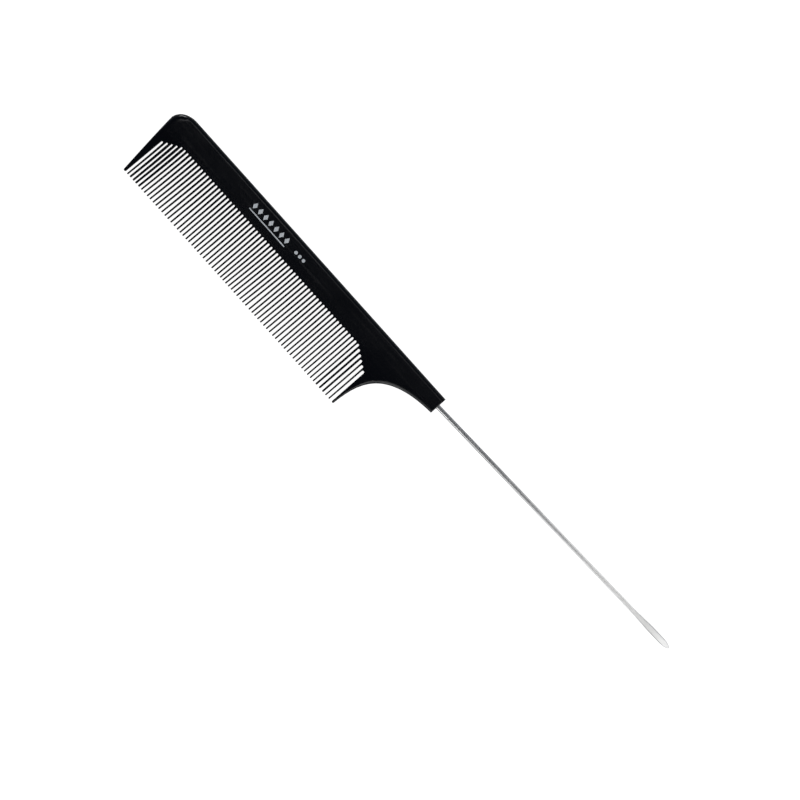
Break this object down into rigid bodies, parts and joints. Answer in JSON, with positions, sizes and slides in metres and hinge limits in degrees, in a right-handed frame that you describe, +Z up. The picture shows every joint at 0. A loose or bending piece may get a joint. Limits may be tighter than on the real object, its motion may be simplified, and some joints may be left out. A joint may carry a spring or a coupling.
{
  "type": "rat tail comb",
  "caption": "Salon sectioning comb: black moulded body with one row of fine teeth, a thicker guard tooth at each end, a swept neck and a slim steel pin tail with a flattened point.",
  "frame": {"origin": "under the middle of the comb's whole box, on the surface that it lies on", "axes": "+X from the nose along the comb to the tip of the tail pin, +Y from the tooth tips to the back edge, +Z up through the thickness, from the face that it lies on to the face with the foil ornament"},
  "size_m": [0.2186, 0.027, 0.0035],
  "materials": {
    "comb_body": "semi-gloss, polished hard rubber",
    "pin_steel": "polished stainless steel wire",
    "foil": "hot-stamped matt silver foil"
  },
  "bodies": {
    "root": {"spine": "comb_body", "handle": "comb_body", "nose_guard_tooth": "comb_body", "heel_guard_tooth": "comb_body", "fine_teeth": "comb_body", "tail_pin": "pin_steel", "foil_rule": "foil", "foil_lozenges": "foil", "foil_dots": "foil"}
  },
  "joints": []
}
